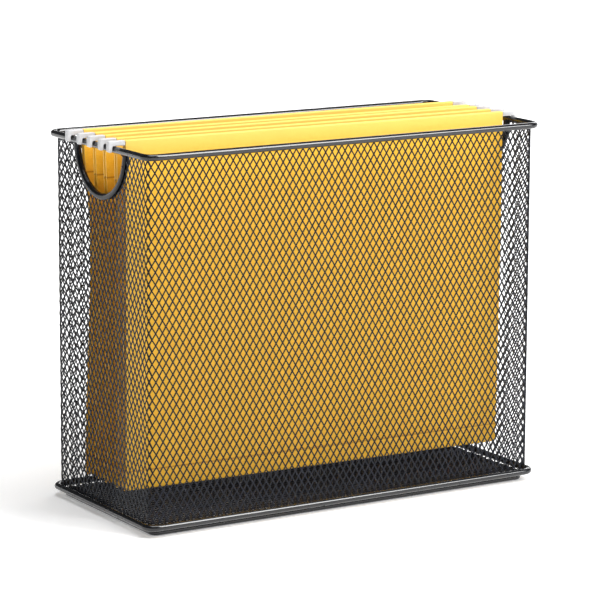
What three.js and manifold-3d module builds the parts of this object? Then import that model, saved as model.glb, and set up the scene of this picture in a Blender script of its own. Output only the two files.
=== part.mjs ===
// Steel mesh desktop holder with five hanging card folders.
// Millimetres, +Z up, +X along the front. The origin is the middle of the footprint on the table.
import * as THREE from "three";
import { mergeVertices } from "three/addons/utils/BufferGeometryUtils.js";
import Module from "manifold-3d";

const wasm = await Module();
wasm.setup();

// Driving dimensions of the holder
const WIDTH = 320; // over the rims
const DEPTH = 145; // over the rims
const HEIGHT = 261; // table to the top of the top rim
const RIM_RADIUS = 2.3; // wire of the two rims
const RIM_CORNER = 9.5; // outer corner of the rims, seen from above
const BASE_RIM_Z = 7; // centre of the lower rim
const FOOT_RADIUS = 2.1; // wire of the foot ring
const FOOT_INSET = 6.5; // from the rim's centre line to the foot ring's
const SHEET = 0.6; // thickness of the expanded metal sheet
const GAP = 0.3; // clearance between touching pieces
const SEAM_ANGLE = 65; // degrees round each corner from the long side to the panels' seam
const CUTOUT_RADIUS = 34.75; // centre line of the edge trim round the finger cutout
const CUTOUT_DROP = 0.5; // the cutout's centre lies this far under the rim's centre line
const TRIM_RADIUS = 2.25; // section of the edge trim

// Driving dimensions of a hanging folder
const FOLDER_WIDTH = 301; // card, along X
const FOLDER_DROP = 243; // top of the card to the bottom fold
const CARD = 0.4; // card thickness
const BAR_HEIGHT = 3.4; // plastic hook above the rail
const HOOK_HEIGHT = 7.7; // plastic hook, top to the end of its tip
const HOOK_THICKNESS = 1.9;
const HOOK_END = 163; // outer end of a hook, from the middle of the folder
const TIP_INNER = 160.5; // inner face of a hook's tip
const ROD_PITCH = 2.3; // between the two rods of one folder
const ROD_THICKNESS = 0.5;
const ROD_HEIGHT = 8;
const TANG_HEIGHT = 2; // narrow end of a rod, inside the hook
const TANG_END = 154.3;
const HEM_DROP = 29; // how far the folded-in hem reaches down
const FLAP_SPREAD = 0.4; // how far a flap's foot stands outside its top
const BOW_DEPTH = 60; // depth under the rods' pocket where a flap bows most

// Front to rear: place along Y, turn about Z, bow towards the front and lean of the foot to the rear
const FOLDERS = [
  { name: "folder_1", y: -29.4, skew: -1.8, bow: 0, lean: 4 },
  { name: "folder_2", y: -15.7, skew: -1.3, bow: 1.5, lean: 3 },
  { name: "folder_3", y: 1.1, skew: -1, bow: 4, lean: 2 },
  { name: "folder_4", y: 13, skew: -2, bow: 4, lean: 1 },
  { name: "folder_5", y: 32.2, skew: -1.1, bow: 12, lean: -2.5 },
];

const WIRE_SIDES = 12;
const CORNER_STEPS = 6;
const ARC_STEPS = 28; // round the finger cutout
const CLEAR = 10; // how far a cutting tool runs past what it cuts

const railZ = HEIGHT - RIM_RADIUS;
const folderTop = HEIGHT + GAP + BAR_HEIGHT;
const wallInset = 2 * RIM_RADIUS + GAP;
const wallX = WIDTH / 2 - wallInset; // outer face of an end panel
const wallY = DEPTH / 2 - wallInset; // outer face of the front or rear panel
const wallCorner = RIM_CORNER - wallInset;
const wallBottom = BASE_RIM_Z - RIM_RADIUS + SHEET + GAP;
const wallTop = railZ;

const steel = { color: 0x2b2d31, roughness: 0.35, metalness: 0.6 };
const mesh = { color: 0x33353a, roughness: 0.45, metalness: 0.5 };
const card = { color: 0xf6c445, roughness: 0.75, metalness: 0 };
const rod = { color: 0xb9bcc0, roughness: 0.35, metalness: 0.9 };
const plastic = { color: 0xf4f4f2, roughness: 0.4, metalness: 0 };

const holder = new THREE.Group();

function addMesh(parent, name, geometry, finish) {
  const part = new THREE.Mesh(geometry, new THREE.MeshStandardMaterial(finish));
  part.name = name;
  parent.add(part);
  return part;
}

// Closed geometry to a solid, and back
function toSolid(geometry) {
  const bare = geometry.clone();
  bare.deleteAttribute("normal");
  bare.deleteAttribute("uv");
  const merged = mergeVertices(bare.index ? bare.toNonIndexed() : bare, 1e-4);
  const vertProperties = new Float32Array(merged.attributes.position.array);
  const triVerts = new Uint32Array(merged.index.array);
  return new wasm.Manifold(new wasm.Mesh({ numProp: 3, vertProperties, triVerts }));
}

function toGeometry(solid) {
  const { vertProperties, triVerts } = solid.getMesh();
  const geometry = new THREE.BufferGeometry();
  geometry.setAttribute("position", new THREE.BufferAttribute(vertProperties, 3));
  geometry.setIndex(new THREE.BufferAttribute(triVerts, 1));
  return geometry;
}

// Centre line of a rounded rectangle, with the outward direction at each point
function roundedLoop(halfX, halfY, corner) {
  const points = [];
  for (let quarter = 0; quarter < 4; quarter += 1) {
    const signX = quarter === 0 || quarter === 3 ? 1 : -1;
    const signY = quarter < 2 ? 1 : -1;
    for (let step = 0; step <= CORNER_STEPS; step += 1) {
      const angle = (Math.PI / 2) * (quarter + step / CORNER_STEPS);
      const out = new THREE.Vector2(Math.cos(angle), Math.sin(angle));
      const centre = new THREE.Vector2(signX * (halfX - corner), signY * (halfY - corner));
      points.push({ at: centre.addScaledVector(out, corner), out });
    }
  }
  return points;
}

// Round wire bent into a closed rounded rectangle that lies level; its lowest facet is flat
function closedWire(halfX, halfY, corner, radius) {
  const loop = roundedLoop(halfX, halfY, corner);
  const flat = radius / Math.cos(Math.PI / WIRE_SIDES);
  const positions = [];
  for (const { at, out } of loop) {
    for (let side = 0; side < WIRE_SIDES; side += 1) {
      const angle = (2 * Math.PI * (side + 0.5)) / WIRE_SIDES;
      const reach = flat * Math.cos(angle);
      positions.push(at.x + out.x * reach, at.y + out.y * reach, flat * Math.sin(angle));
    }
  }
  const index = [];
  for (let ring = 0; ring < loop.length; ring += 1) {
    const next = (ring + 1) % loop.length;
    for (let side = 0; side < WIRE_SIDES; side += 1) {
      const beside = (side + 1) % WIRE_SIDES;
      const a = ring * WIRE_SIDES + side;
      const b = next * WIRE_SIDES + side;
      const c = next * WIRE_SIDES + beside;
      const d = ring * WIRE_SIDES + beside;
      index.push(a, b, c, a, c, d);
    }
  }
  const geometry = new THREE.BufferGeometry();
  geometry.setAttribute("position", new THREE.Float32BufferAttribute(positions, 3));
  geometry.setIndex(index);
  return geometry;
}

function rim(inset, radius) {
  const halfX = WIDTH / 2 - inset;
  const halfY = DEPTH / 2 - inset;
  return closedWire(halfX, halfY, Math.max(RIM_CORNER - inset, 4), radius);
}

addMesh(holder, "top_rim", rim(RIM_RADIUS, RIM_RADIUS), steel).position.z = railZ;
addMesh(holder, "base_rim", rim(RIM_RADIUS, RIM_RADIUS), steel).position.z = BASE_RIM_Z;
const footInset = RIM_RADIUS + FOOT_INSET;
addMesh(holder, "foot_ring", rim(footInset, FOOT_RADIUS), steel).position.z = FOOT_RADIUS;

// The four wall panels are bent from sheet and meet in an upright seam on each rounded corner.
// Angles run anticlockwise from +X about the corner's centre, as seen from above.
const panelHeight = wallTop - wallBottom;
const bendX = wallX - wallCorner;
const bendY = wallY - wallCorner;
const seam = THREE.MathUtils.degToRad(SEAM_ANGLE);
const seamGap = GAP / 2 / wallCorner;

// Upright sheet bent round two corners of the plan: through corner a from angle a0 to a1, then b
function bentPanel(a, a0, a1, b, b0, b1) {
  const inner = wallCorner - SHEET;
  const plan = new THREE.Shape();
  plan.absarc(a.x, a.y, wallCorner, a0, a1, false);
  plan.absarc(b.x, b.y, wallCorner, b0, b1, false);
  plan.absarc(b.x, b.y, inner, b1, b0, true);
  plan.absarc(a.x, a.y, inner, a1, a0, true);
  const settings = { depth: panelHeight, bevelEnabled: false, curveSegments: 5 };
  const sheet = new THREE.ExtrudeGeometry(plan, settings);
  sheet.translate(0, 0, wallBottom);
  return sheet;
}

const frontLeft = new THREE.Vector2(-bendX, -bendY);
const frontRight = new THREE.Vector2(bendX, -bendY);
const rearLeft = new THREE.Vector2(-bendX, bendY);
const south = 1.5 * Math.PI;
const west = Math.PI;
const reach = seam - seamGap; // how far the long panels follow each corner
const longPanel = bentPanel(frontLeft, south - reach, south, frontRight, south, south + reach);
addMesh(holder, "front_mesh_panel", longPanel, mesh);
addMesh(holder, "rear_mesh_panel", longPanel, mesh).rotation.z = Math.PI;

const rest = Math.PI / 2 - seam - seamGap; // and how far the end panels do
const endSheet = bentPanel(rearLeft, west - rest, west, frontLeft, west, west + rest);

// Half-round finger cutout at the top of an end panel, open upwards
const cutoutZ = railZ - CUTOUT_DROP;
function cutoutTool() {
  const radius = CUTOUT_RADIUS + TRIM_RADIUS + GAP;
  const outline = new THREE.Shape();
  outline.moveTo(radius, CLEAR);
  outline.lineTo(-radius, CLEAR);
  outline.absarc(0, 0, radius, Math.PI, 2 * Math.PI, false);
  const settings = { depth: 2 * CLEAR, bevelEnabled: false, curveSegments: ARC_STEPS };
  const tool = new THREE.ExtrudeGeometry(outline, settings);
  tool.rotateX(Math.PI / 2);
  tool.rotateZ(Math.PI / 2);
  tool.translate(-wallX - CLEAR, 0, cutoutZ);
  return toSolid(tool);
}

const endPanel = toGeometry(toSolid(endSheet).subtract(cutoutTool()));

// Edge trim of the cutout: a wire bent to a half circle, cut level under the rim
class HalfCircle extends THREE.Curve {
  getPoint(t, target = new THREE.Vector3()) {
    const start = Math.asin((cutoutZ - (railZ - RIM_RADIUS - GAP)) / CUTOUT_RADIUS);
    const angle = -start - t * (Math.PI - 2 * start);
    return target.set(0, CUTOUT_RADIUS * Math.cos(angle), CUTOUT_RADIUS * Math.sin(angle));
  }
}

function trimGeometry() {
  const section = new THREE.Shape();
  const sides = 10;
  for (let side = 0; side < sides; side += 1) {
    const angle = (2 * Math.PI * side) / sides;
    const x = TRIM_RADIUS * Math.cos(angle);
    const y = TRIM_RADIUS * Math.sin(angle);
    if (side === 0) section.moveTo(x, y);
    else section.lineTo(x, y);
  }
  const settings = { steps: ARC_STEPS, extrudePath: new HalfCircle() };
  const trim = new THREE.ExtrudeGeometry(section, settings);
  trim.translate(-wallX + SHEET / 2, 0, cutoutZ);
  const cap = new THREE.BoxGeometry(2 * CLEAR, 2 * CUTOUT_RADIUS + 2 * CLEAR, 2 * CLEAR);
  cap.translate(-wallX, 0, railZ - RIM_RADIUS - GAP + CLEAR);
  return toGeometry(toSolid(trim).subtract(toSolid(cap)));
}

const trim = trimGeometry();
for (const [side, turn] of [["left", 0], ["right", Math.PI]]) {
  addMesh(holder, `${side}_end_mesh_panel`, endPanel, mesh).rotation.z = turn;
  addMesh(holder, `${side}_cutout_trim`, trim, steel).rotation.z = turn;
}

// Floor: a flat sheet that lies on the foot ring, inside the base rim
function floorPlan() {
  const halfX = WIDTH / 2 - 2 * RIM_RADIUS - GAP;
  const halfY = DEPTH / 2 - 2 * RIM_RADIUS - GAP;
  return new THREE.Shape(roundedLoop(halfX, halfY, wallCorner).map(({ at }) => at));
}
const floor = new THREE.ExtrudeGeometry(floorPlan(), { depth: SHEET, bevelEnabled: false });
addMesh(holder, "base_mesh_panel", floor, mesh).position.z = 2 * FOOT_RADIUS + GAP;

// A strip of card seen end on: a line of points, given half its thickness to each side
function ribbon(points, thickness) {
  const left = [];
  const right = [];
  points.forEach((point, i) => {
    const before = points[Math.max(i - 1, 0)];
    const after = points[Math.min(i + 1, points.length - 1)];
    const into = point.clone().sub(before).normalize();
    const away = after.clone().sub(point).normalize();
    if (i === 0) into.copy(away);
    if (i === points.length - 1) away.copy(into);
    const along = into.clone().add(away).normalize();
    const reach = thickness / 2 / along.dot(into);
    const normal = new THREE.Vector2(-along.y, along.x);
    left.push(point.clone().addScaledVector(normal, reach));
    right.push(point.clone().addScaledVector(normal, -reach));
  });
  return new THREE.Shape([...left, ...right.reverse()]);
}

// How far a flap stands from the plane of its rods at a depth under the top
const rodPocket = CARD + 2 * GAP + ROD_HEIGHT;
function sway(depth, bow, lean) {
  const below = Math.max(depth - rodPocket, 0);
  const swell = Math.sin((Math.PI / 2) * Math.min(below / BOW_DEPTH, 1)) ** 2;
  const left = 1 - THREE.MathUtils.smoothstep(below, BOW_DEPTH, FOLDER_DROP);
  return -bow * swell * left + lean * (below / FOLDER_DROP) ** 2;
}

// One sheet of card: front hem, front flap, bottom fold, rear flap, rear hem
function cardPath(bow, lean) {
  const loopHalf = ROD_THICKNESS / 2 + GAP + CARD / 2;
  const outer = ROD_PITCH / 2 + loopHalf;
  const inner = ROD_PITCH / 2 - loopHalf;
  const top = -CARD / 2;
  const pressed = CARD + GAP; // between the hem and the flap where they are glued
  const hem = [HEM_DROP, 20, 12].map((depth) => [outer - pressed, -depth]);
  const depths = [rodPocket, 20, 30, 45, 60, 75, 90, 105, 120, 160, 200, FOLDER_DROP - 3];
  const flap = depths.map((depth) => [outer + FLAP_SPREAD * (depth / FOLDER_DROP), -depth]);
  const half = [...hem, [inner, -rodPocket], [inner, top], [outer, top], ...flap];
  const foot = outer + FLAP_SPREAD;
  half.push([foot - 0.5, -FOLDER_DROP + 1], [foot - 1.4, -FOLDER_DROP + CARD / 2]);
  const place = ([y, z], side) => new THREE.Vector2(side * y + sway(-z, bow, lean), z);
  const front = half.map((point) => place(point, -1));
  const rear = half.map((point) => place(point, 1)).reverse();
  return [...front, ...rear];
}

// Extrudes an outline in the YZ plane along X, centred on X = 0
function extrudeAlongX(shape, length) {
  const geometry = new THREE.ExtrudeGeometry(shape, { depth: length, bevelEnabled: false });
  geometry.translate(0, 0, -length / 2);
  geometry.rotateX(Math.PI / 2);
  geometry.rotateZ(Math.PI / 2);
  return geometry;
}

// Steel rod in a hem: a flat strip with a narrow tang at each end
function rodGeometry() {
  const half = FOLDER_WIDTH / 2 - 1;
  const top = -(CARD + GAP);
  const outline = new THREE.Shape();
  outline.moveTo(-TANG_END, top);
  outline.lineTo(-TANG_END, top - TANG_HEIGHT);
  outline.lineTo(-half, top - TANG_HEIGHT);
  outline.lineTo(-half, top - ROD_HEIGHT);
  outline.lineTo(half, top - ROD_HEIGHT);
  outline.lineTo(half, top - TANG_HEIGHT);
  outline.lineTo(TANG_END, top - TANG_HEIGHT);
  outline.lineTo(TANG_END, top);
  const strip = new THREE.ExtrudeGeometry(outline, { depth: ROD_THICKNESS, bevelEnabled: false });
  strip.translate(0, 0, -ROD_THICKNESS / 2);
  strip.rotateX(Math.PI / 2);
  return strip;
}

// Plastic hook on the right-hand end of a rod: a bar over the rail and a tip outside it
function hookGeometry() {
  const start = FOLDER_WIDTH / 2 + GAP;
  const corner = 1.2;
  const outline = new THREE.Shape();
  outline.moveTo(start, 0);
  outline.lineTo(start, -BAR_HEIGHT);
  outline.lineTo(TIP_INNER - corner, -BAR_HEIGHT);
  outline.quadraticCurveTo(TIP_INNER, -BAR_HEIGHT, TIP_INNER, -BAR_HEIGHT - corner);
  outline.lineTo(TIP_INNER, -HOOK_HEIGHT + corner);
  outline.quadraticCurveTo(TIP_INNER, -HOOK_HEIGHT, TIP_INNER + corner, -HOOK_HEIGHT);
  outline.lineTo(HOOK_END - corner, -HOOK_HEIGHT);
  outline.quadraticCurveTo(HOOK_END, -HOOK_HEIGHT, HOOK_END, -HOOK_HEIGHT + corner);
  outline.lineTo(HOOK_END, -corner);
  outline.quadraticCurveTo(HOOK_END, 0, HOOK_END - corner, 0);
  const solid = new THREE.ExtrudeGeometry(outline, {
    depth: HOOK_THICKNESS,
    bevelEnabled: false,
    curveSegments: 3,
  });
  solid.translate(0, 0, -HOOK_THICKNESS / 2);
  solid.rotateX(Math.PI / 2);
  const socketEnd = TANG_END + GAP;
  const socket = new THREE.BoxGeometry(
    2 * (socketEnd - start),
    ROD_THICKNESS + 2 * GAP,
    TANG_HEIGHT + 2 * GAP,
  );
  socket.translate(start, 0, -(CARD + GAP + TANG_HEIGHT / 2));
  return toGeometry(toSolid(solid).subtract(toSolid(socket)));
}

const rodShape = rodGeometry();
const hookShape = hookGeometry();

for (const { name, y, skew, bow, lean } of FOLDERS) {
  const folder = new THREE.Group();
  folder.position.set(0, y, folderTop);
  folder.rotation.z = THREE.MathUtils.degToRad(skew);
  const sheet = extrudeAlongX(ribbon(cardPath(bow, lean), CARD), FOLDER_WIDTH);
  addMesh(folder, `${name}_card`, sheet, card);
  for (const [place, side] of [["front", -1], ["rear", 1]]) {
    const rodY = (side * ROD_PITCH) / 2;
    addMesh(folder, `${name}_${place}_rod`, rodShape, rod).position.y = rodY;
    for (const [end, turn] of [["left", Math.PI], ["right", 0]]) {
      const hook = addMesh(folder, `${name}_${place}_${end}_hook`, hookShape, plastic);
      hook.position.y = rodY;
      hook.rotation.z = turn;
    }
  }
  holder.add(folder);
}

export default holder;
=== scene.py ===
"""Desktop hanging file holder: a black expanded-metal basket with five yellow hanging folders.

Everything is in metres, +Z up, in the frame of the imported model: X runs along the front, and the
front faces -Y. Places and sizes come from the frame's boxes; the rest are named values in millimetres
turned into metres by MM.
"""

import math

import bmesh
import bpy
from mathutils import Matrix, Vector, noise


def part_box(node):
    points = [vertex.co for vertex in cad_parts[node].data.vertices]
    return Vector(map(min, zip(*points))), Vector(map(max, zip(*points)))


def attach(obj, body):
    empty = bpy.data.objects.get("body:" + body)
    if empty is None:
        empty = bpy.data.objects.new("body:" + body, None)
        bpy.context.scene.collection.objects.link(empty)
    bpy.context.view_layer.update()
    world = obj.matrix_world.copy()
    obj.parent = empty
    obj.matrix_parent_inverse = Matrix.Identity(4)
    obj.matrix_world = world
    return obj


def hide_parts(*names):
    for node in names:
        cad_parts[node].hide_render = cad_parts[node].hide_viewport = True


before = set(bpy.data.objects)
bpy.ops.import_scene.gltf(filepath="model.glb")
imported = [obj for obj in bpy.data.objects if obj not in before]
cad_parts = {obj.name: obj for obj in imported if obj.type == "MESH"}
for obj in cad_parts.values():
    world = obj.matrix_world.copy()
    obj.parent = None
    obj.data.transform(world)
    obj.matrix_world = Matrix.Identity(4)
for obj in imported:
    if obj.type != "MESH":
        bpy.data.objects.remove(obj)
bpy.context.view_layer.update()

MM = 0.001
FOLDER_NAMES = [f"folder_{number}" for number in range(1, 6)]

# Holder: what the frame's boxes don't say
WIRE_CORNER = 7.2 * MM  # corner radius of both rims' centre lines
FOOT_CORNER = 4.0 * MM  # corner radius of the foot ring's centre line
WELD_RUN = 4 * MM  # reach of the ground-down stretch at a wire's butt weld
WELD_WAIST = 0.05  # and how much thinner the wire is there
PANEL_CORNER = 4.6 * MM  # outer corner radius of the wall panels
LAP_STEP = 0.75 * MM  # how far an end panel is set in where it laps behind a long panel
LAP_START = 0.3 * MM  # the step begins here, past the start of the bend
LAP_RUN = 1.8 * MM  # and takes this long

# Expanded metal: diamonds taller than wide, with strands that tilt and thin towards their edges
HALF_WAY_U = 2.60 * MM  # half a diamond across
LONG_COLUMNS = 60  # half diamonds from the middle of a long panel to its edge
END_COLUMNS = 24  # and of an end panel, which has one more that laps behind the long panel
HALF_WAY_V = 4.15 * MM  # half a diamond along
NODE_U = 0.51 * MM  # half of a node across
NODE_V = 0.79 * MM  # half of a node along
RIDGE = 0.38 * MM  # half thickness at a strand's middle
EDGE = 0.24 * MM  # half thickness at a strand's edge
TILT = 0.06 * MM  # how far a hole's upper corner leans in and its lower corner leans out
FLOOR_DEPTH = 1.7  # the floor was not rolled flat: how much deeper it is than a wall panel
FIRST_ROW_DROP = 2.6 * MM  # first row of nodes under the panel's top edge

# Edging of the finger cutouts
EDGING_SLOT = 0.62 * MM  # half width of the slot that grips the sheet
EDGING_LIP = 0.5 * MM  # bevel beside the slot's mouth
EDGING_GRIP = 0.8 * MM  # from the section's middle to the bottom of the slot

# Weld beads: half sizes of tacks along the wire, across it and up, and of an edging's welds in X, Y and Z
RIM_TACK = (2.2 * MM, 0.7 * MM, 1.1 * MM)
FOOT_TACK = (2.0 * MM, 0.9 * MM, 0.5 * MM)
EDGING_WELD = (2.3 * MM, 2.2 * MM, 1.7 * MM)
SPOT_WELD = (0.35 * MM, 1.1 * MM, 1.1 * MM)
RIM_TACK_DROP = 0.6 * MM  # the top rim's tacks sit this far under its middle
EDGING_WELD_DROP = 1.4 * MM  # under the middle of the cutout's circle
SPOT_WELD_DROP = 10 * MM
SPOT_WELD_SHIFT = 1.2 * MM  # from the edging's centre line towards the cutout

# Hanging folder
CARD = 0.4 * MM  # thickness of the card
CARD_WIDTH = 301 * MM
LOOP_HALF = 0.75 * MM  # from a rod's middle to the middle of the card round it
ROD_POCKET = 9.0 * MM  # depth of the pocket that holds a rod
HEM_DROP = 29 * MM  # depth of the hem's edge under the top
PRESSED = 0.7 * MM  # from a flap to the hem glued on it
FLAP_SPREAD = 0.4 * MM  # how far each flap stands out at the foot
FLAP_STEP = 4 * MM  # between the rows of points down a flap
SCORE_HEIGHT = 13.5 * MM  # score line above the bottom fold
SCORE_HALF = 0.5 * MM  # half width of the score line
SCORE_DENT = 0.12 * MM
BOW_DEPTH = 60 * MM  # under the rod pocket, where a flap's bow is deepest
RIPPLE = 0.5 * MM  # slight waves in the free part of a flap
RIPPLE_REACH = 60 * MM  # they grow over this way below the hem
TOP_LIGHT_DEPTH = 16 * MM  # how far the painted top light, a paler colour at a folder's top, reaches down
FLAP_SHAPES = {  # bow towards the front and lean of the foot to the rear
    "folder_1": (0.0, 4.0 * MM),
    "folder_2": (1.5 * MM, 3.0 * MM),
    "folder_3": (4.0 * MM, 2.0 * MM),
    "folder_4": (4.0 * MM, 1.0 * MM),
    "folder_5": (12.0 * MM, -2.5 * MM),
}
HOOK_BAR = 3.4 * MM  # height of a hook's bar
HOOK_TIP = 2.5 * MM  # width of its tip
HOOK_EDGE = 0.4 * MM  # radius along its edges

# Worked out from the frame
WALL_X = -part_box("left_end_mesh_panel")[0].x  # from the middle to an end panel's outer face
WALL_Y = -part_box("front_mesh_panel")[0].y  # and to a long panel's
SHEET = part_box("base_mesh_panel")[1].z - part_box("base_mesh_panel")[0].z
BEND = PANEL_CORNER - SHEET / 2  # corner radius of the panels' middle surface
# Half a diamond across an end panel, so that its columns meet a long panel's at the seam
FLATS = WALL_X + WALL_Y - 2 * PANEL_CORNER
END_HALF_WAY_U = (FLATS + BEND * math.pi / 2 - LONG_COLUMNS * HALF_WAY_U) / END_COLUMNS


# ---------------------------------------------------------------- materials


class Finish:
    """A Principled material and short ways to add nodes to it."""

    def __init__(self, name, **values):
        self.material = bpy.data.materials.new(name)
        self.material.use_nodes = True
        self.tree = self.material.node_tree
        self.shader = self.tree.nodes["Principled BSDF"]
        for label, value in values.items():
            self.shader.inputs[label.replace("_", " ")].default_value = value
        self.place = self.add("ShaderNodeTexCoord").outputs["Object"]

    def add(self, kind, **values):
        node = self.tree.nodes.new(kind)
        for label, value in values.items():
            setattr(node, label, value)
        return node

    def link(self, source, target):
        self.tree.links.new(source, target)

    def fill(self, sockets, values):
        """Links each socket to its value, or sets it, whichever the value calls for."""
        for socket, value in zip(sockets, values):
            if isinstance(value, bpy.types.NodeSocket):
                self.link(value, socket)
            elif isinstance(value, (int, float)):
                socket.default_value = value
            else:
                socket.default_value = (*value, 1)

    def noise(self, feature, detail=3.0, stretch=(1, 1, 1)):
        """Noise whose blotches are about `feature` metres across, longer where stretch is above 1."""
        mapping = self.add("ShaderNodeMapping")
        mapping.inputs["Scale"].default_value = [1 / (feature * share) for share in stretch]
        self.link(self.place, mapping.inputs["Vector"])
        texture = self.add("ShaderNodeTexNoise")
        texture.inputs["Scale"].default_value = 1.0
        texture.inputs["Detail"].default_value = detail
        self.link(mapping.outputs["Vector"], texture.inputs["Vector"])
        return texture.outputs["Fac"]

    def ramp(self, factor, *stops):
        """Colour ramp from (position, colour) pairs; a bare number is a grey."""
        node = self.add("ShaderNodeValToRGB")
        elements = node.color_ramp.elements
        while len(elements) < len(stops):
            elements.new(0.5)
        for element, (position, colour) in zip(elements, stops):
            element.position = position
            grey = isinstance(colour, (int, float))
            element.color = (colour, colour, colour, 1) if grey else (*colour, 1)
        self.link(factor, node.inputs["Fac"])
        return node.outputs["Color"]

    def mix(self, factor, first, second, blend="MIX"):
        node = self.add("ShaderNodeMix", data_type="RGBA", blend_type=blend)
        self.fill((node.inputs[0], node.inputs[6], node.inputs[7]), (factor, first, second))
        return node.outputs[2]

    def math(self, operation, first, second=0.0):
        node = self.add("ShaderNodeMath", operation=operation)
        self.fill(node.inputs, (first, second))
        return node.outputs["Value"]

    def split(self, vector, axis):
        node = self.add("ShaderNodeSeparateXYZ")
        self.link(vector, node.inputs["Vector"])
        return node.outputs[axis]

    def bump(self, *layers):
        """Bump from (height, distance in metres, strength) layers, each on top of the one before."""
        normal = None
        for height, distance, strength in layers:
            node = self.add("ShaderNodeBump")
            node.inputs["Distance"].default_value = distance
            node.inputs["Strength"].default_value = strength
            self.link(height, node.inputs["Height"])
            if normal is not None:
                self.link(normal, node.inputs["Normal"])
            normal = node.outputs["Normal"]
        self.link(normal, self.shader.inputs["Normal"])

    def colour(self, source):
        self.link(source, self.shader.inputs["Base Color"])

    def roughness(self, source):
        self.link(source, self.shader.inputs["Roughness"])


def black_enamel(name, coat):
    """Black baked enamel on the round wires: fine orange peel, dust specks under the lacquer."""
    finish = Finish(name, Coat_Weight=coat, Coat_Roughness=0.08, Specular_IOR_Level=0.1)
    deep, light, dust = (0.004, 0.0045, 0.006), (0.007, 0.008, 0.010), (0.05, 0.05, 0.055)
    tone = finish.ramp(finish.noise(30 * MM), (0.35, deep), (0.65, light))
    specks = finish.ramp(finish.noise(0.5 * MM, 1), (0.70, 0.0), (0.76, 1.0))
    finish.colour(finish.mix(specks, tone, dust))
    finish.roughness(finish.ramp(finish.noise(6 * MM, 4), (0.3, 0.16), (0.7, 0.30)))
    finish.bump((finish.noise(1.1 * MM, 2), 0.02 * MM, 0.5), (specks, 0.03 * MM, 0.5))
    return finish.material


def mesh_paint():
    """Thinner black paint on the expanded metal, a little bluer and duller, with finer dust specks."""
    finish = Finish("black_painted_mesh", Specular_IOR_Level=0.22)
    deep, light, dust = (0.003, 0.005, 0.010), (0.006, 0.008, 0.016), (0.025, 0.028, 0.035)
    tone = finish.ramp(finish.noise(12 * MM), (0.3, deep), (0.7, light))
    specks = finish.ramp(finish.noise(0.45 * MM, 1), (0.66, 0.0), (0.74, 1.0))
    finish.colour(finish.mix(specks, tone, dust))
    finish.roughness(finish.ramp(finish.noise(2.5 * MM, 4), (0.3, 0.30), (0.7, 0.48)))
    finish.bump((finish.noise(0.7 * MM, 3), 0.04 * MM, 0.6))
    return finish.material


def card_stock(name, top, lines):
    """Yellow pressed card: soft mottling, fibres along the sheet, darker flecks, a paler cut edge.

    Paler towards the top fold: painted top light. Lines are the heights of the creases across it, each
    painted darker as painted shade in the crease."""
    finish = Finish(name, Roughness=0.5, Specular_IOR_Level=0.3)
    deep, base, light = (0.88, 0.48, 0.028), (0.91, 0.51, 0.036), (0.93, 0.54, 0.046)
    fleck, crease_shade = (0.62, 0.28, 0.02), (0.50, 0.21, 0.012)
    top_lit_paleness, cut = (0.95, 0.63, 0.13), (0.95, 0.66, 0.20)
    crease_half = 0.9 * MM
    mottle = finish.ramp(finish.noise(3.5 * MM, 5), (0.3, deep), (0.5, base), (0.72, light))
    fibres = finish.ramp(finish.noise(0.5 * MM, 4, (5, 1, 1.4)), (0.3, 0.93), (0.62, 1.0))
    colour = finish.mix(1.0, mottle, fibres, "MULTIPLY")
    flecks = finish.ramp(finish.noise(1.3 * MM, 2, (1.6, 1, 1)), (0.70, 0.0), (0.75, 0.4))
    colour = finish.mix(flecks, colour, fleck)
    height = finish.split(finish.place, "Z")
    # painted shade: the card is painted darker along each crease line
    for line in lines:
        away = finish.math("ABSOLUTE", finish.math("SUBTRACT", height, line))
        crease_shade_mask = finish.ramp(finish.math("DIVIDE", away, crease_half), (0.3, 0.8), (1.0, 0.0))
        colour = finish.mix(crease_shade_mask, colour, crease_shade)
    # painted top light: the card is painted paler towards the top fold
    depth = finish.math("DIVIDE", finish.math("SUBTRACT", top, height), TOP_LIGHT_DEPTH)
    colour = finish.mix(finish.ramp(depth, (0.0, 1.0), (0.3, 0.7), (1.0, 0.0)), colour, top_lit_paleness)
    facing = finish.split(finish.add("ShaderNodeNewGeometry").outputs["True Normal"], "X")
    at_edge = finish.ramp(finish.math("ABSOLUTE", facing), (0.85, 0.0), (0.95, 0.7))
    finish.colour(finish.mix(at_edge, colour, cut))
    finish.bump((finish.noise(0.35 * MM, 4, (4, 1, 1.3)), 0.03 * MM, 0.6))
    return finish.material


def brushed_rod():
    """Cold-rolled steel strip with fine drawing lines."""
    finish = Finish("brushed_rod_steel", Metallic=1.0)
    lines = finish.noise(0.12 * MM, 3, (60, 1, 1))
    finish.colour(finish.ramp(lines, (0.3, (0.42, 0.42, 0.43)), (0.7, (0.62, 0.62, 0.61))))
    finish.roughness(finish.ramp(finish.noise(5 * MM, 3), (0.3, 0.28), (0.7, 0.45)))
    finish.bump((lines, 0.01 * MM, 0.5))
    return finish.material


def hook_plastic():
    """White moulded plastic with a very fine spark-eroded grain."""
    finish = Finish("white_moulded_plastic", Specular_IOR_Level=0.45)
    tone = finish.ramp(finish.noise(5 * MM, 3), (0.3, (0.58, 0.58, 0.59)), (0.7, (0.62, 0.62, 0.63)))
    finish.colour(tone)
    finish.roughness(finish.ramp(finish.noise(2 * MM, 3), (0.3, 0.30), (0.7, 0.42)))
    finish.bump((finish.noise(0.16 * MM, 2), 0.008 * MM, 0.5))
    return finish.material


# ---------------------------------------------------------------- mesh tools


def add_object(name, data):
    made = bpy.data.objects.new(name, data)
    bpy.context.scene.collection.objects.link(made)
    return made


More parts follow.
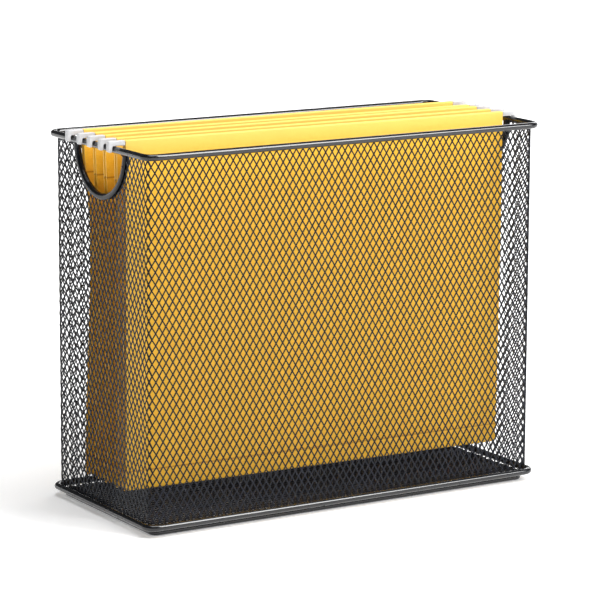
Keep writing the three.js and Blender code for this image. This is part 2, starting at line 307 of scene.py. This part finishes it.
def make_piece(name, points, faces, material, sharp=40, turn_out=False):
    """Mesh object with smooth shading that stays crisp at edges sharper than `sharp` degrees.

    turn_out makes all faces of a closed shape look outwards."""
    used = sorted({corner for face in faces for corner in face})
    renumbered = {old: new for new, old in enumerate(used)}
    data = bpy.data.meshes.new(name)
    data.from_pydata([points[old] for old in used], [], [[renumbered[c] for c in face] for face in faces])
    data.materials.append(material)
    if turn_out:
        work = bmesh.new()
        work.from_mesh(data)
        bmesh.ops.recalc_face_normals(work, faces=work.faces)
        work.to_mesh(data)
        work.free()
    data.shade_smooth()
    data.set_sharp_from_angle(angle=math.radians(sharp))
    return add_object(name, data)


def middle(node):
    low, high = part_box(node)
    return (low + high) / 2


def smooth_step(share):
    share = min(max(share, 0.0), 1.0)
    return share * share * (3 - 2 * share)


def rounded_corner(start, corner, end):
    """Points of a curve from start to end that is drawn towards the corner."""
    steps = 6
    shares = [step / steps for step in range(steps + 1)]
    return [start.lerp(corner, share).lerp(corner.lerp(end, share), share) for share in shares]


def rounded_rectangle(half_x, half_y, corner):
    """Points of a level closed path and the outward direction at each, anticlockwise from +X."""
    straight_step, corner_steps = 6 * MM, 14
    path = []
    for quarter in range(4):
        sign_x = 1 if quarter in (0, 3) else -1
        sign_y = 1 if quarter < 2 else -1
        centre = Vector((sign_x * (half_x - corner), sign_y * (half_y - corner), 0))
        for step in range(corner_steps + 1):
            angle = math.pi / 2 * (quarter + step / corner_steps)
            out = Vector((math.cos(angle), math.sin(angle), 0))
            path.append((centre + out * corner, out))
        run = 2 * ((half_x if quarter % 2 == 0 else half_y) - corner)
        pieces = max(int(run / straight_step), 1)
        along = Vector((-out.y, out.x, 0))
        start = path[-1][0]
        path += [(start + along * (run * k / pieces), out) for k in range(1, pieces)]
    return path


def numbered_rings(outlines):
    """All the outlines' points in one list, and each outline as a ring of their numbers."""
    points, rings = [], []
    for outline in outlines:
        rings.append(list(range(len(points), len(points) + len(outline))))
        points += outline
    return points, rings


def bridge(rings, closed=True):
    """Faces between rings of equal size; the rings themselves are closed outlines."""
    faces = []
    size = len(rings[0])
    last = len(rings) if closed else len(rings) - 1
    for ring in range(last):
        here, there = rings[ring], rings[(ring + 1) % len(rings)]
        for side in range(size):
            beside = (side + 1) % size
            faces.append((here[side], here[beside], there[beside], there[side]))
    return faces


def wire_loop(name, node, corner, material, weld_at):
    """Round wire bent to a closed rounded rectangle, its butt weld ground down at the rear, at weld_at."""
    low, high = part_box(node)
    radius = (high.z - low.z) / 2
    level = middle(node).z
    sides = 20
    angles = [2 * math.pi * side / sides for side in range(sides)]
    outlines = []
    for at, out in rounded_rectangle(high.x - radius, high.y - radius, corner):
        thick = radius
        if at.y > 0:
            thick *= 1 - WELD_WAIST * math.exp(-(((at.x - weld_at) / WELD_RUN) ** 2))
        outlines.append([
            at + out * (thick * math.cos(angle)) + Vector((0, 0, level + thick * math.sin(angle)))
            for angle in angles
        ])
    points, rings = numbered_rings(outlines)
    return make_piece(name, points, bridge(rings), material)


def bead(points, faces, at, size, seed):
    """Adds a small lumpy weld bead, a squashed ball, to a growing mesh."""
    rows, columns = 6, 10
    lumpiness = 0.14
    first = len(points)
    for row in range(1, rows):
        tilt = math.pi * row / rows
        for column in range(columns):
            angle = 2 * math.pi * column / columns
            way = Vector((math.sin(tilt) * math.cos(angle), math.sin(tilt) * math.sin(angle), math.cos(tilt)))
            lump = 1 + lumpiness * noise.noise(way * 1.7 + Vector((seed, 0, 0)))
            points.append(Vector(at) + Vector([way[k] * size[k] * lump for k in range(3)]))
    top, bottom = len(points), len(points) + 1
    points += [Vector(at) + Vector((0, 0, size[2])), Vector(at) - Vector((0, 0, size[2]))]
    for column in range(columns):
        beside = (column + 1) % columns
        faces.append((top, first + column, first + beside))
        for row in range(rows - 2):
            a = first + row * columns
            faces.append((a + column, a + columns + column, a + columns + beside, a + beside))
        last = first + (rows - 2) * columns
        faces.append((bottom, last + beside, last + column))


def cutout_circle():
    """Level of the cutout's centre, radius of its trim's centre line and half the trim's width."""
    low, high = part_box("left_cutout_trim")
    section = (high.x - low.x) / 2
    radius = (high.y - low.y) / 2 - section
    return low.z + section + radius, radius, section


# ---------------------------------------------------------------- expanded metal


def diamond_pattern(columns, pitch, v_from, v_to, v_origin):
    """Flat strands that cover a rectangle, from column -columns to column columns.

    Each point is (u, v, lift, half thickness). Nodes of the net lie where i + j is even, and the hexagon
    from one node to the next is two four-sided faces, so neighbours share all their points."""
    points, known, faces = [], {}, []

    def point(node, side, rise):
        key = (*node, side, rise)
        if key not in known:
            known[key] = len(points)
            u = node[0] * pitch + side * NODE_U
            v = v_origin + node[1] * HALF_WAY_V + rise * NODE_V
            points.append((u, v, -rise * TILT, RIDGE if side == rise == 0 else EDGE))
        return known[key]

    low_j = math.floor((v_from - v_origin) / HALF_WAY_V)
    high_j = math.ceil((v_to - v_origin) / HALF_WAY_V)
    for i in range(-columns, columns):
        for j in range(low_j, high_j):
            rising = (i + j) % 2 == 0
            low, high = ((i, j), (i + 1, j + 1)) if rising else ((i + 1, j), (i, j + 1))
            side = 1 if rising else -1
            near = (point(low, 0, 0), point(low, side, 0), point(high, 0, -1), point(high, 0, 0))
            far = (point(low, 0, 0), point(high, 0, 0), point(high, -side, 0), point(low, 0, 1))
            faces += [near, far] if rising else [near[::-1], far[::-1]]
    return points, faces


def trimmed(points, faces, keep):
    """Cuts the pattern along the line where keep(u, v), a signed distance, is zero."""
    value = [keep(point[0], point[1]) for point in points]
    cuts, kept = {}, []

    def crossing(a, b):
        key = (min(a, b), max(a, b))
        if key not in cuts:
            share = value[key[0]] / (value[key[0]] - value[key[1]])
            ends = zip(points[key[0]], points[key[1]])
            cuts[key] = len(points)
            points.append(tuple(p + (q - p) * share for p, q in ends))
        return cuts[key]

    for face in faces:
        outline = []
        for a, b in zip(face, face[1:] + face[:1]):
            if value[a] >= 0:
                outline.append(a)
            if (value[a] >= 0) != (value[b] >= 0):
                outline.append(crossing(a, b))
        if len(outline) >= 3:
            kept.append(tuple(outline))
    return kept


def expanded_metal(name, points, faces, place, material):
    """Gives the flat pattern its thickness; place(u, v, out) puts its points on the panel's shape."""
    count = len(points)
    solid_points = [place(u, v, lift + half) for u, v, lift, half in points]
    solid_points += [place(u, v, lift - half) for u, v, lift, half in points]
    solid = list(faces) + [tuple(count + corner for corner in reversed(face)) for face in faces]
    edges = {(a, b) for face in faces for a, b in zip(face, face[1:] + face[:1])}
    solid += [(b, a, a + count, b + count) for a, b in edges if (b, a) not in edges]
    return make_piece(name, solid_points, solid, material, sharp=50)


def wall_panel(name, node, turn, is_end, material):
    """Upright expanded-metal panel that faces -Y before it is turned about Z, wrapped round two corners.

    An end panel steps in where it laps behind the long panels, and has the finger cutout."""
    low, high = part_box(node)
    wall, half_run = (WALL_X, WALL_Y) if is_end else (WALL_Y, WALL_X)
    columns, pitch = (END_COLUMNS + 1, END_HALF_WAY_U) if is_end else (LONG_COLUMNS, HALF_WAY_U)
    half_flat = half_run - PANEL_CORNER
    plane = wall - SHEET / 2
    rotate = Matrix.Rotation(turn, 3, "Z")

    def place(u, v, out):
        past = abs(u) - half_flat
        if is_end:
            out -= LAP_STEP * smooth_step((past - LAP_START) / LAP_RUN)
        if past <= 0:
            return rotate @ Vector((u, -plane - out, v))
        angle = past / BEND
        side = math.copysign(1, u)
        centre = Vector((side * half_flat, -plane + BEND, v))
        return rotate @ (centre + Vector((side * math.sin(angle), -math.cos(angle), 0)) * (BEND + out))

    points, faces = diamond_pattern(columns, pitch, low.z, high.z, high.z - FIRST_ROW_DROP)
    faces = trimmed(points, faces, lambda u, v: high.z - v)
    faces = trimmed(points, faces, lambda u, v: v - low.z)
    if is_end:
        level, radius, _ = cutout_circle()
        faces = trimmed(points, faces, lambda u, v: math.hypot(u, max(level - v, 0)) - radius)
    return expanded_metal(name, points, faces, place, material)


def floor_panel(name, node, material):
    """Level expanded-metal sheet with rounded corners."""
    low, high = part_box(node)
    level = middle(node).z
    inner_x, inner_y = high.x - PANEL_CORNER, high.y - PANEL_CORNER

    def inside(u, v):
        over_x, over_y = abs(u) - inner_x, abs(v) - inner_y
        outside = math.hypot(max(over_x, 0), max(over_y, 0))
        return PANEL_CORNER - outside - min(max(over_x, over_y), 0)

    def place(u, v, out):
        return Vector((u, v, level + out * FLOOR_DEPTH))

    columns = math.ceil(high.x / HALF_WAY_U)
    points, faces = diamond_pattern(columns, HALF_WAY_U, low.y, high.y, 0.0)
    faces = trimmed(points, faces, inside)
    return expanded_metal(name, points, faces, place, material)


# ---------------------------------------------------------------- holder


def edging_section(half):
    """Rolled edging seen end on, as (across the sheet, away from the cutout's centre) points."""
    roll = half - EDGING_SLOT - EDGING_LIP
    roll_x, roll_y, mouth = EDGING_SLOT + EDGING_LIP, half - roll, half - EDGING_LIP

    def arc(x, y, radius, start, quarters, steps):
        """Anticlockwise arc round (x, y); its angles are counted in quarter turns."""
        angles = [math.pi / 2 * (start + quarters * step / steps) for step in range(steps + 1)]
        return [(x + radius * math.cos(angle), y + radius * math.sin(angle)) for angle in angles]

    return [
        *arc(0, 0, half, 2, 2, 16),
        *arc(roll_x, roll_y, roll, 0, 1, 4),
        (EDGING_SLOT, mouth),
        (EDGING_SLOT, -EDGING_GRIP),
        (-EDGING_SLOT, -EDGING_GRIP),
        (-EDGING_SLOT, mouth),
        *arc(-roll_x, roll_y, roll, 1, 1, 4),
    ]


def cutout_edging(name, node, material):
    """Pressed U-channel that grips the edge of the half-round cutout, with its two closed ends."""
    level, radius, section = cutout_circle()
    plane = middle(node).x
    outline = edging_section(section)
    steps = 56
    outlines = []
    for step in range(steps + 1):
        angle = math.pi * step / steps
        across = Vector((0, math.cos(angle), -math.sin(angle)))
        outlines.append([Vector((plane + x, 0, level)) + across * (radius + away) for x, away in outline])
    points, rings = numbered_rings(outlines)
    faces = bridge(rings, closed=False)
    faces += [tuple(reversed(rings[0])), tuple(rings[-1])]
    return make_piece(name, points, faces, material, turn_out=True)


def edging_welds(name, node, material):
    """Weld beads where an edging meets the rim, and the round spot weld pressed in each arm."""
    level, radius, section = cutout_circle()
    plane = middle(node).x
    out = math.copysign(1, plane)
    rim_low, rim_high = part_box("top_rim")
    rim_x = out * (rim_high.x - (rim_high.z - rim_low.z) / 2)
    points, faces = [], []
    for seed, side in enumerate((-1, 1)):
        at = ((plane + rim_x) / 2, side * radius, level - EDGING_WELD_DROP)
        bead(points, faces, at, EDGING_WELD, seed)
        at = (plane + out * section, side * (radius - SPOT_WELD_SHIFT), level - SPOT_WELD_DROP)
        bead(points, faces, at, SPOT_WELD, seed + 5)
    return make_piece(name, points, faces, material)


def tack_welds(name, half_x, half_y, level, along_x, along_y, size, material):
    """Small resistance welds on the four sides of a rectangle, at the places in along_x and along_y."""
    length, width, height = size
    spots = [(x, side * half_y, (length, width, height)) for side in (-1, 1) for x in along_x]
    spots += [(side * half_x, y, (width, length, height)) for side in (-1, 1) for y in along_y]
    points, faces = [], []
    for seed, (x, y, bead_size) in enumerate(spots):
        bead(points, faces, (x, y, level), bead_size, seed)
    return make_piece(name, points, faces, material)


def rim_tacks(name, rim, level, material):
    """Tacks between a rim and the wall panels inside it."""
    low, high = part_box(rim)
    wire = high.z - low.z
    along_x = [x * MM for x in range(-140, 141, 40)]
    along_y = [-54 * MM, 54 * MM]
    return tack_welds(name, high.x - wire, high.y - wire, level, along_x, along_y, RIM_TACK, material)


def foot_tacks(name, material):
    """Tacks between the foot ring and the floor that lies on it."""
    low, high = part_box("foot_ring")
    radius = (high.z - low.z) / 2
    along_x = [x * MM for x in range(-120, 121, 60)]
    along_y = [-35 * MM, 35 * MM]
    half_x, half_y = high.x - radius, high.y - radius
    return tack_welds(name, half_x, half_y, high.z, along_x, along_y, FOOT_TACK, material)


def build_holder(gloss, satin, painted):
    """All pieces of the welded basket; each is attached to the holder and hides the CAD nodes that it stands
    in for.
    """
    top_level, base_level = middle("top_rim").z, middle("base_rim").z
    pieces = [
        (wire_loop("top_rim_wire", "top_rim", WIRE_CORNER, gloss, 60 * MM), "rim_steel", ["top_rim"]),
        (wire_loop("base_rim_wire", "base_rim", WIRE_CORNER, gloss, -50 * MM), "rim_steel", ["base_rim"]),
        (wire_loop("foot_ring_wire", "foot_ring", FOOT_CORNER, gloss, 20 * MM), "rim_steel", ["foot_ring"]),
        (rim_tacks("top_rim_tack_welds", "top_rim", top_level - RIM_TACK_DROP, gloss), "rim_steel", []),
        (rim_tacks("base_rim_tack_welds", "base_rim", base_level, gloss), "rim_steel", []),
        (foot_tacks("foot_ring_tack_welds", gloss), "rim_steel", []),
        (floor_panel("floor_expanded_metal", "base_mesh_panel", painted), "mesh_steel", ["base_mesh_panel"]),
    ]
    for side, turn in (("front", 0.0), ("rear", math.pi)):
        node = f"{side}_mesh_panel"
        panel = wall_panel(f"{side}_expanded_metal", node, turn, False, painted)
        pieces.append((panel, "mesh_steel", [node]))
    for side, turn in (("left", -math.pi / 2), ("right", math.pi / 2)):
        node = f"{side}_end_mesh_panel"
        panel = wall_panel(f"{side}_end_expanded_metal", node, turn, True, painted)
        pieces.append((panel, "mesh_steel", [node]))
        trim = f"{side}_cutout_trim"
        pieces.append((cutout_edging(f"{side}_cutout_edging", trim, satin), "rim_steel", [trim]))
        pieces.append((edging_welds(f"{side}_edging_welds", trim, satin), "rim_steel", []))
    for piece, slot, nodes in pieces:
        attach(piece, "holder")
        if nodes:
            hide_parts(*nodes)


# ---------------------------------------------------------------- hanging folders


def sway(depth, bow, lean, drop):
    """How far a flap stands from the plane of its rods at a depth under the top."""
    below = max(depth - ROD_POCKET, 0)
    swell = math.sin(math.pi / 2 * min(below / BOW_DEPTH, 1)) ** 2
    left = 1 - smooth_step((below - BOW_DEPTH) / (drop - BOW_DEPTH))
    return -bow * swell * left + lean * (below / drop) ** 2


def rounded_path(corners):
    """Open path through (across, height, radius) corners, with each corner rounded."""
    path = [Vector(corners[0][:2])]
    for before, (x, z, radius), after in zip(corners, corners[1:], corners[2:]):
        here = Vector((x, z))
        if radius == 0:
            path.append(here)
            continue
        into = (Vector(before[:2]) - here).normalized()
        away = (Vector(after[:2]) - here).normalized()
        path += rounded_corner(here + into * radius, here, here + away * radius)
    path.append(Vector(corners[-1][:2]))
    return path


def card_half(drop, rod_pitch):
    """Half of the folded sheet, from the hem's edge round the rod and down the flap to the foot."""
    outer = rod_pitch / 2 + LOOP_HALF
    inner = rod_pitch / 2 - LOOP_HALF
    top, foot = -CARD / 2, -drop + CARD / 2
    score = drop - SCORE_HEIGHT
    corners = [(outer - PRESSED, -HEM_DROP, 0)]
    corners += [(outer - PRESSED, -depth * MM, 0) for depth in (26, 23, 20, 17, 14)]
    corners += [
        (outer - PRESSED, -12 * MM, 0.8 * MM),
        (inner, -ROD_POCKET, 0.6 * MM),
        (inner, top, 0.7 * MM),
        (outer, top, 0.7 * MM),
    ]
    depths = [ROD_POCKET + FLAP_STEP * k for k in range(int((drop - ROD_POCKET) / FLAP_STEP) - 1)]
    depths = [depth for depth in depths if abs(depth - score) > 3 * SCORE_HALF]
    depths += [score - SCORE_HALF, score, score + SCORE_HALF]
    for depth in sorted(depths):
        dent = SCORE_DENT if depth == score else 0.0
        corners.append((outer + FLAP_SPREAD * depth / drop - dent, -depth, 0))
    corners += [(outer + FLAP_SPREAD, foot, 1.5 * MM), (0, foot, 0)]
    return rounded_path(corners)


def card_sheet(name, node, centre, skew, rod_pitch, shape, material):
    """The folder's one sheet of card, swept along X with a slight natural ripple."""
    low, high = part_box(node)
    drop = high.z - low.z
    half = card_half(drop, rod_pitch)
    path = [Vector((-point.x, point.y)) for point in half] + list(reversed(half[:-1]))
    rows = len(path)
    faced, backed = [], []
    for number, point in enumerate(path):
        before, after = path[max(number - 1, 0)], path[min(number + 1, rows - 1)]
        along = (after - before).normalized()
        across = Vector((-along.y, along.x)) * (CARD / 2)
        faced.append(point + across)
        backed.append(point - across)
    section = faced + backed[::-1]
    columns = 36
    bow, lean = shape
    turn = Matrix.Rotation(skew, 3, "Z")
    outlines = []
    for column in range(columns + 1):
        x = CARD_WIDTH * (column / columns - 0.5)
        outline = []
        for y, z in section:
            depth = -z
            free = smooth_step((depth - HEM_DROP) / RIPPLE_REACH)
            # long waves along X and down the card, other ones on each folder
            wave = noise.noise(Vector((x * 9, depth * 5, centre.y * 90)))
            place = Vector((x, y + sway(depth, bow, lean, drop) + wave * RIPPLE * free, z))
            outline.append(turn @ place + Vector((centre.x, centre.y, high.z)))
        outlines.append(outline)
    points, rings = numbered_rings(outlines)
    faces = bridge(rings, closed=False)
    for ring, flip in ((rings[0], True), (rings[-1], False)):
        for k in range(rows - 1):
            face = (ring[k], ring[k + 1], ring[-k - 2], ring[-k - 1])
            faces.append(tuple(reversed(face)) if flip else face)
    return make_piece(name, points, faces, material, turn_out=True)


def hook_outline(length, height, inset):
    """Side of a hook as (along X, height) points: a bar over the rail and a tip outside it.

    The corner between bar and tip is hollow. Its radius is negative, and grows with the inset."""
    start, end = -length / 2, length / 2
    tip = end - HOOK_TIP
    smallest = 0.05 * MM
    corners = [
        (start + inset, -inset, 0.5 * MM),
        (start + inset, -HOOK_BAR + inset, 0.4 * MM),
        (tip + inset, -HOOK_BAR + inset, -1.3 * MM),
        (tip + inset, -height + inset, 1.2 * MM),
        (end - inset, -height + inset, 1.2 * MM),
        (end - inset, -inset, 1.4 * MM),
    ]
    outline = []
    for number, (x, z, radius) in enumerate(corners):
        here = Vector((x, z))
        into = (Vector(corners[number - 1][:2]) - here).normalized()
        away = (Vector(corners[(number + 1) % len(corners)][:2]) - here).normalized()
        reach = max(abs(radius) - math.copysign(inset, radius), smallest)
        outline += rounded_corner(here + into * reach, here, here + away * reach)
    return outline


def hook_moulding(name, node, skew, outward, material):
    """Plastic hook with rounded edges on the end of a rod."""
    low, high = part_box(node)
    centre = middle(node)
    size = high - low
    # the box is that of the turned hook: its own length and thickness are worked back from it
    spread = math.cos(2 * skew)
    length = (size.x * math.cos(skew) - size.y * abs(math.sin(skew))) / spread
    half = (size.y * math.cos(skew) - size.x * abs(math.sin(skew))) / spread / 2
    steps = 4
    turns = [math.pi / 2 * step / steps for step in range(steps + 1)]
    layers = [(HOOK_EDGE * (1 - math.cos(turn)) - half, HOOK_EDGE * (1 - math.sin(turn))) for turn in turns]
    layers += [(-y, inset) for y, inset in reversed(layers)]
    turn = Matrix.Rotation(skew + (0 if outward > 0 else math.pi), 3, "Z")
    base = Vector((centre.x, centre.y, high.z))
    points, rings = numbered_rings(
        [turn @ Vector((x, y, z)) + base for x, z in hook_outline(length, size.z, inset)]
        for y, inset in layers
    )
    faces = bridge(rings, closed=False)
    faces += [tuple(reversed(rings[0])), tuple(rings[-1])]
    return make_piece(name, points, faces, material, turn_out=True)


def set_material(node, material):
    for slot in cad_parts[node].material_slots:
        slot.material = material


def build_folder(folder, card, plastic, steel):
    """A folder's card and hooks; its rods keep their CAD shape and only get the steel."""
    front, rear = middle(f"{folder}_front_rod"), middle(f"{folder}_rear_rod")
    centre = (front + rear) / 2
    ends = middle(f"{folder}_front_right_hook") - middle(f"{folder}_front_left_hook")
    skew = math.atan2(ends.y, ends.x)
    node = f"{folder}_card"
    pitch = (rear.y - front.y) / math.cos(skew)
    sheet = card_sheet(f"{node}_sheet", node, centre, skew, pitch, FLAP_SHAPES[folder], card)
    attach(sheet, folder)
    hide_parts(node)
    for place in ("front", "rear"):
        set_material(f"{folder}_{place}_rod", steel)
        for end, outward in (("left", -1), ("right", 1)):
            node = f"{folder}_{place}_{end}_hook"
            hook = hook_moulding(f"{node}_moulding", node, skew, outward, plastic)
            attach(hook, folder)
            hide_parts(node)


# ---------------------------------------------------------------- studio

CAMERA_YAW = math.radians(31.48)  # the camera stands to the left of the front
CAMERA_PITCH = math.radians(11.07)  # and looks down
CAMERA_ROLL = math.radians(-0.20)
CAMERA_DISTANCE = 2.2556
CAMERA_LENS = 192.2
CAMERA_AIM = Vector((0.0130, 0.0229, 0.1348))
LIGHTS_AIM = Vector((0, 0, 0.15))
LIGHTS = {  # place, width and height, watts
    "key_softbox": ((1.15, -1.57, 1.72), (0.7, 1.8), 64),
    "top_softbox": ((0.0, -0.3, 2.2), (1.8, 1.2), 40),
    "rear_softbox": ((1.7, 1.2, 1.2), (1.2, 1.2), 12),
}
SKY_STRENGTH = 0.08
FULL_GLOW_AT = 2.0  # from the middle of the studio floor to where it glows most
FLOOR_REACH = 12.0  # and to its upturned edges
UPTURN = 1.6  # height of those edges


def add_camera():
    forward = Vector((
        math.sin(CAMERA_YAW) * math.cos(CAMERA_PITCH),
        math.cos(CAMERA_YAW) * math.cos(CAMERA_PITCH),
        -math.sin(CAMERA_PITCH),
    ))
    right = Vector((math.cos(CAMERA_YAW), -math.sin(CAMERA_YAW), 0))
    roll = Matrix.Rotation(CAMERA_ROLL, 3, forward)
    axes = Matrix((roll @ right, roll @ right.cross(forward), -forward)).transposed()
    data = bpy.data.cameras.new("camera")
    data.lens = CAMERA_LENS
    data.sensor_width = 36
    data.clip_end = 50
    camera = add_object("camera", data)
    camera.matrix_world = Matrix.Translation(CAMERA_AIM - forward * CAMERA_DISTANCE) @ axes.to_4x4()
    bpy.context.scene.camera = camera


def add_light(name, place, size, watts):
    data = bpy.data.lights.new(name, "AREA")
    data.shape = "RECTANGLE"
    data.size, data.size_y = size
    data.energy = watts
    light = add_object(name, data)
    light.location = place
    light.rotation_euler = (LIGHTS_AIM - Vector(place)).to_track_quat("-Z", "Y").to_euler()


def glowing_floor_with_painted_shade():
    """White table whose glow is painted light, stronger with distance; the weaker glow near the holder is
    painted shade under and around it.
    """
    finish = Finish("studio_floor", Roughness=0.9, Specular_IOR_Level=0.1)
    distance = finish.add("ShaderNodeVectorMath", operation="LENGTH")
    finish.link(finish.place, distance.inputs[0])
    share = finish.math("DIVIDE", distance.outputs["Value"], FULL_GLOW_AT)
    # painted light and shade: the floor glows, and glows less near the holder
    finish.link(finish.ramp(share, (0.1, 0.3), (1.0, 1.0)), finish.shader.inputs["Emission Color"])
    finish.shader.inputs["Emission Strength"].default_value = 1.0
    finish.colour(finish.ramp(finish.noise(0.4, 2), (0.3, 0.93), (0.7, 0.95)))
    return finish.material


def add_studio():
    """Weak even sky, three softboxes, and a white floor whose far edges turn up like a sweep."""
    world = bpy.data.worlds.new("studio")
    bpy.context.scene.world = world
    world.use_nodes = True
    sky = world.node_tree.nodes["Background"]
    sky.inputs["Color"].default_value = (1.0, 1.0, 1.0, 1)
    sky.inputs["Strength"].default_value = SKY_STRENGTH
    bpy.context.scene.view_settings.view_transform = "Standard"
    for name, (place, size, watts) in LIGHTS.items():
        add_light(name, place, size, watts)
    data = bpy.data.meshes.new("studio_floor")
    plan = [(-1, -1), (1, -1), (1, 1), (-1, 1)]
    corners = [(x * FLOOR_REACH, y * FLOOR_REACH, z) for z in (0, UPTURN) for x, y in plan]
    walls = [(k, (k + 1) % 4, (k + 1) % 4 + 4, k + 4) for k in range(4)]
    data.from_pydata(corners, [], [(0, 1, 2, 3), *walls])
    data.materials.append(glowing_floor_with_painted_shade())
    floor = add_object("studio_floor", data)


add_camera()
add_studio()
build_holder(black_enamel("gloss_black_enamel", 1.0), black_enamel("satin_black_enamel", 0.35), mesh_paint())
bottom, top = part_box("folder_1_card")[0].z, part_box("folder_1_card")[1].z
front_card = card_stock("yellow_card", top, [bottom + SCORE_HEIGHT])
# this card also has the hem's edge painted as a dark line, painted shade
hem_line_shaded_card = card_stock("hem_line_shaded_yellow_card", top, [bottom + SCORE_HEIGHT, top - HEM_DROP])
plastic, steel = hook_plastic(), brushed_rod()
for folder in FOLDER_NAMES:
    card = front_card if folder == FOLDER_NAMES[0] else hem_line_shaded_card
    build_folder(folder, card, plastic, steel)
